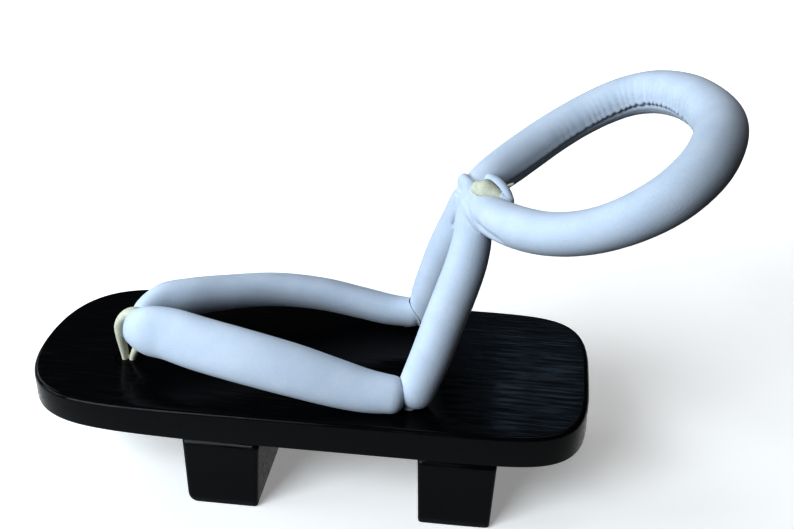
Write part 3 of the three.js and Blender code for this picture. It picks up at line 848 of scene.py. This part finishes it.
thong = thong_tube()
thong_parts = [tube_skin(thong, (THONG_DOME, THONG_DOME), THONG_SIDES, THONG_BLUNTNESS)]
thong_end = FOOTBED + THONG_ROWS[-1, 2]
thong_parts += [knotted_tail(SLOT_ENDS[0], side * SLOT_Y, TAIL_RADIUS, KNOT_RADIUS, thong_end)
                for side in (1, -1)]
thong_piece = sewn_skin("padded_thong", thong_parts, STRAP_VOXEL)
pressed_clear(thong_piece, risers.values(), STRAP_GAP)
keep_run(thong_piece, [thong])
print("thong: %.0f mm along its middle" % thong.run[-1])

# %% [markdown]
# ## White cotton
# The cover is brushed cotton: white, matt, with a short nap and very fine ribs across the strap. Its
# daylight white is a little blue. Ribs and nap follow the strap, so they read the straightened
# coordinates that every strap carries, in millimetres.

# %% The cotton
RIB_TURN, RIB_HEIGHT = 6.8, 0.06
NAP_SCALE, MOTTLE_SCALE = 1.7, 0.09
NAP_STRENGTH, NAP_HEIGHT = 0.35, 0.0004
COTTON_RANGE = (0.7, 1.3)
COTTON_SHADE, COTTON_WHITE = (0.58, 0.65, 0.75, 1), (0.66, 0.72, 0.81, 1)


def cotton():
    """Bump = sine of the run for the ribs plus fine noise for the nap. The colour follows the nap and a
    broad noise, and sheen brightens the cloth where it turns away."""
    material, shader, add, links = node_tree("white_cotton")
    run = add("ShaderNodeAttribute", attribute_name="strap_run").outputs["Vector"]
    along = add("ShaderNodeSeparateXYZ", {0: run}).outputs[0]
    turn = add("ShaderNodeMath", {0: along, 1: RIB_TURN}, operation="MULTIPLY").outputs[0]
    ribs = add("ShaderNodeMath", {0: turn}, operation="SINE").outputs[0]
    fibres = {"Vector": run, "Scale": NAP_SCALE, "Detail": 5.0, "Roughness": 0.65}
    nap = add("ShaderNodeTexNoise", fibres).outputs[0]
    mottle = add("ShaderNodeTexNoise", {"Vector": run, "Scale": MOTTLE_SCALE, "Detail": 2.0}).outputs[0]
    height = add("ShaderNodeMath", {0: ribs, 1: RIB_HEIGHT, 2: nap}, operation="MULTIPLY_ADD").outputs[0]
    bump = add("ShaderNodeBump", {"Height": height, "Strength": NAP_STRENGTH, "Distance": NAP_HEIGHT})
    links.new(bump.outputs[0], shader.inputs["Normal"])
    mixed = add("ShaderNodeMath", {0: mottle, 1: nap}, operation="ADD").outputs[0]
    tone = ranged(add, mixed, COTTON_RANGE, (0, 1))
    links.new(blended(add, tone, COTTON_SHADE, COTTON_WHITE), shader.inputs["Base Color"])
    shader.inputs["Roughness"].default_value = 0.95
    shader.inputs["Specular IOR Level"].default_value = 0.15
    shader.inputs["Sheen Weight"].default_value = 0.25
    shader.inputs["Sheen Roughness"].default_value = 0.45
    return material


white_cotton = cotton()
show(ankle, "ankle_strap", white_cotton)
show(thong_piece, "thong_strap", white_cotton)

# %% [markdown]
# ## Cream cords
# A flat cream cord goes round the fold of the thong and down through the toe hole to a knot. A second,
# short cord ties the ring where it meets the rising straps, and a loose thread sticks out of it. Both are
# ovals carried along a path, like the straps.

# %% Toe loop and tie
LOOP_WIDTH, LOOP_THICK, LOOP_GAP = 6.0, 4.2, 0.3
LEG_WIDTH, LEG_THICK, LEG_GAP = 4.4, 3.0, 0.3
LOOP_TURN, LOOP_STATIONS, LEG_DEPTH = (-45, 225), 9, 7
LOOP_SPACING, TIE_SPACING = 0.4, 0.2
LOOP_SIDES, TIE_SIDES = 48, 40
TOE_TAIL, TOE_KNOT, TOE_TAIL_DEPTH = 4.6, 6.5, 3.5
TIE_ROWS = np.array([  # x, y, rise, size
    (-70.4, 4.8, 86.6, 6.8),
    (-73.0, 5.8, 86.6, 8.2),
    (-76.8, 7.6, 86.0, 5.8),
    (-80.0, 9.4, 85.0, 3.4),
    (-83.0, 12.4, 84.2, 2.6),
])
THREAD_ROWS = np.array([  # x, y, rise, size
    (-79.2, 7.2, 87.6, 1.4),
    (-81.2, 5.6, 88.6, 1.3),
    (-83.4, 4.2, 89.2, 1.2),
])
TIE_DOMES = (3.2, 1.4)


def toe_loop_tube():
    """Up the front leg, round the fold's leaning oval from -45 to 225 degrees, and down the back leg, in
    the upright plane of the fold. The legs are thinner than the band round the fold."""
    fold_x, _, fold_rise, fold_width, fold_thick, fold_lean = THONG_ROWS[0]
    angle, lean = np.radians(np.linspace(*LOOP_TURN, LOOP_STATIONS)), math.radians(fold_lean)
    ahead = (fold_thick / 2 + LOOP_GAP + LOOP_THICK / 2) * np.cos(angle)
    above = (fold_width / 2 + LOOP_GAP + LOOP_THICK / 2) * np.sin(angle)
    leg = (LEG_THICK + LEG_GAP) / 2
    front, back = [TOE_HOLE[0] + leg] * 2, [TOE_HOLE[0] - leg] * 2
    x = np.concatenate([front, fold_x + ahead * math.cos(lean) - above * math.sin(lean), back])
    round_fold = fold_rise + ahead * math.sin(lean) + above * math.cos(lean)
    rise = np.concatenate([[-LEG_DEPTH, 0], round_fold, [0, -LEG_DEPTH]])
    on_fold = np.isin(np.arange(len(x)), (0, 1, len(x) - 2, len(x) - 1), invert=True)
    width = np.where(on_fold, LOOP_WIDTH, LEG_WIDTH)
    thick = np.where(on_fold, LOOP_THICK, LEG_THICK)
    rows = np.column_stack([x, np.full(len(x), TOE_HOLE[1]), FOOTBED + rise, width, thick, 0 * x])
    return Tube(rows, (0, 1, 0), LOOP_SPACING)


loop = toe_loop_tube()
loop_parts = [tube_skin(loop, (LEG_THICK / 2,) * 2, LOOP_SIDES),
              knotted_tail(*TOE_HOLE[:2], TOE_TAIL, TOE_KNOT, FOOTBED - TOE_TAIL_DEPTH)]
tie = Tube(round_rows(TIE_ROWS), (0, 0, 1), TIE_SPACING)
tie_parts = [tube_skin(tie, TIE_DOMES, TIE_SIDES), pad(THREAD_ROWS)]
loop_piece = sewn_skin("cream_toe_loop", loop_parts, CORD_VOXEL)
tie_piece = sewn_skin("cream_ankle_tie", tie_parts, CORD_VOXEL)
keep_run(loop_piece, [loop])
keep_run(tie_piece, [tie])
pressed_clear(ankle, [tie], LOOP_GAP)
print("along the middle, toe loop: %.1f mm, tie: %.1f mm" % (loop.run[-1], tie.run[-1]))

# %% [markdown]
# ## Cream cotton
# Both cords are unbleached cotton, matt and uneven. One noise on the straightened coordinates gives the
# fibres as a bump and as a change from dull to light cream.

# %% The cream
CREAM_SCALE = 1.5
CREAM_STRENGTH, CREAM_HEIGHT = 0.5, 0.0006
CREAM_DULL, CREAM_LIGHT = (0.52, 0.52, 0.40, 1), (0.80, 0.80, 0.68, 1)


def cream():
    """Bump = fine noise along the cord, which also takes the colour from dull to light cream."""
    material, shader, add, links = node_tree("cream_cord")
    run = add("ShaderNodeAttribute", attribute_name="strap_run").outputs["Vector"]
    nap = add("ShaderNodeTexNoise", {"Vector": run, "Scale": CREAM_SCALE, "Detail": 4.0}).outputs[0]
    links.new(blended(add, nap, CREAM_DULL, CREAM_LIGHT), shader.inputs["Base Color"])
    bump = add("ShaderNodeBump", {"Height": nap, "Strength": CREAM_STRENGTH, "Distance": CREAM_HEIGHT})
    links.new(bump.outputs[0], shader.inputs["Normal"])
    shader.inputs["Roughness"].default_value = 0.85
    shader.inputs["Specular IOR Level"].default_value = 0.2
    return material


cream_cord = cream()
show(loop_piece, "toe_loop", cream_cord)
show(tie_piece, "ankle_tie", cream_cord)

# %% [markdown]
# ## Floor and light
# The ground is plain and pale, and a wide lamp hung behind keeps it so. The shoe is lit by one large soft
# window high at the front left and two smaller ones low at the toe's side, so the straps turn grey
# towards the heel and underneath. Three dim panes far behind show only as a streaky reflection in the
# lacquer at the heel. The floor glows a little by itself and sends no light up to the straps, whose
# undersides stay dark.

# %% Floor
FLOOR_HALF = 4000.0
FLOOR_COLOUR, FLOOR_GLOW = (0.92, 0.90, 0.88, 1), 0.35
corners = FLOOR_HALF * np.array([(-1, -1, 0), (1, -1, 0), (1, 1, 0), (-1, 1, 0)])
floor = new_piece("floor", corners, [[0, 1, 2, 3]], doubles=False)
floor_paint, floor_shader, _, _ = node_tree("pale_floor")
floor_shader.inputs["Base Color"].default_value = FLOOR_COLOUR
floor_shader.inputs["Roughness"].default_value = 0.9
floor_shader.inputs["Emission Color"].default_value = (1, 1, 1, 1)
floor_shader.inputs["Emission Strength"].default_value = FLOOR_GLOW
floor.data.materials.append(floor_paint)
floor.visible_diffuse = False
print("floor: %.0f m square" % (2 * FLOOR_HALF / 1000))

# %% Lights
LIGHTS = {  # place, aim, width and height in millimetres, watts, colour, beam in degrees
    "window_left": ((680, 130, 360), (-10, 0, 70), (380, 380), 2.0, (0.80, 0.91, 1.0), 180),
    "window_far_left": ((700, -420, 520), (-30, 0, 60), (400, 400), 1.8, (0.82, 0.92, 1.0), 180),
    "window_front": ((1100, 1500, 1200), (-30, 0, 60), (1400, 1400), 58, (0.86, 0.94, 1.0), 180),
    "backdrop": ((-30, -1700, 2400), (-30, -1700, 0), (2800, 1400), 30, (1.0, 1.0, 1.0), 70),
    "pane_near": ((-72, -1900, 1340), (-85, 0, 46), (75, 250), 0.13, (0.50, 0.72, 1.0), 180),
    "pane_far": ((-185, -1900, 1315), (-105, 0, 46), (120, 210), 0.16, (0.50, 0.72, 1.0), 180),
    "pane_low": ((6, -1900, 1195), (-72, 0, 46), (90, 46), 0.035, (0.50, 0.72, 1.0), 180),
}
for name, (place, aim, size, watts, colour, beam) in LIGHTS.items():
    light = bpy.data.lights.new(name, "AREA")
    light.shape = "RECTANGLE"
    light.size, light.size_y = size[0] / 1000, size[1] / 1000
    light.energy = watts
    light.color = colour
    light.spread = math.radians(beam)
    lamp = bpy.data.objects.new(name, light)
    scene.collection.objects.link(lamp)
    place, aim = to_frame([place, aim])
    turn = Vector(aim - place).to_track_quat("-Z", "Y").to_matrix().to_4x4()
    lamp.matrix_world = Matrix.Translation(place) @ turn
print("lights:", ", ".join(LIGHTS))

# %% Room and print
ROOM_COLOUR, ROOM_STRENGTH = (1.0, 0.97, 0.94, 1), 0.04
PRINT_GAMMA = 0.75  # below one for a hard print: deep blacks beside bright cloth
world = bpy.data.worlds.new("room")
world.use_nodes = True
world.node_tree.nodes["Background"].inputs["Color"].default_value = ROOM_COLOUR
world.node_tree.nodes["Background"].inputs["Strength"].default_value = ROOM_STRENGTH
scene.world = world
scene.view_settings.view_transform = "Standard"
scene.view_settings.gamma = PRINT_GAMMA
print("room light: %.2f, print gamma: %.2f" % (ROOM_STRENGTH, PRINT_GAMMA))
